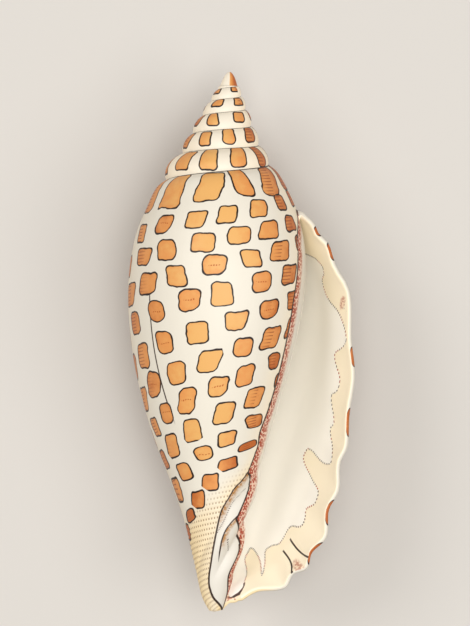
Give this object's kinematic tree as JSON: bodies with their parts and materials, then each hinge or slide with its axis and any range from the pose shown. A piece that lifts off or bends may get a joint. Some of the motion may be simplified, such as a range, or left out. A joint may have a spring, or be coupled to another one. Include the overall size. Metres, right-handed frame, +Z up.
{
  "type": "spotted volute shell",
  "caption": "Spindle-shaped sea-snail shell with a stepped pointed spire, a long spotted last whorl and a flared wavy lip; a display piece that lies on its back.",
  "frame": {"origin": "on the floor, under the middle of the shell's bounding box", "axes": "+Z up, out of the mouth; +Y towards the apex, along the coiling axis to within three degrees; +X towards the outer lip"},
  "size_m": [0.042, 0.1, 0.0346],
  "materials": {
    "shell": "polished cream-white natural shell with orange-brown spots"
  },
  "bodies": {
    "root": {"shell": "shell"}
  },
  "joints": []
}
